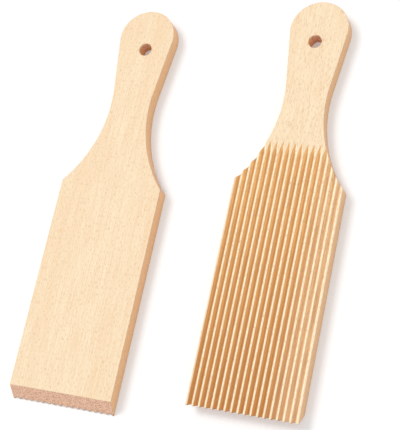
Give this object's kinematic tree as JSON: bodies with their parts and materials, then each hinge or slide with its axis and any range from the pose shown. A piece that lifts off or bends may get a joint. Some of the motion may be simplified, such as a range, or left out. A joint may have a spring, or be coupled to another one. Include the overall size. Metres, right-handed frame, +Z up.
{
  "type": "pair of ridged pasta boards",
  "caption": "Pair of flat beech paddles, grooved lengthwise on one face, for rolling gnocchi and shaping butter; bevelled tip and a hanging hole in each handle.",
  "frame": {"origin": "middle of the pair's bounding box, on the surface that both boards lie on", "axes": "+Z up; +Y along both boards from the blade tips to the handle ends; +X from the turned-over board to the board that lies ridges up"},
  "size_m": [0.174, 0.262, 0.009],
  "materials": {
    "beech_ridged": "fine-sanded untreated beech, milled grooves a little darker",
    "beech_plain": "fine-sanded untreated beech, end grain showing at the bevelled tip"
  },
  "bodies": {
    "ridges_up_board": {"ridges_up_board": "beech_ridged"},
    "ridges_down_board": {"ridges_down_board": "beech_plain"}
  },
  "joints": [
    {"name": "board_lift", "type": "slide", "parent": "ridges_up_board", "child": "ridges_down_board", "axis": [0, 0, 1], "range_m": [0, 0.06]}
  ]
}
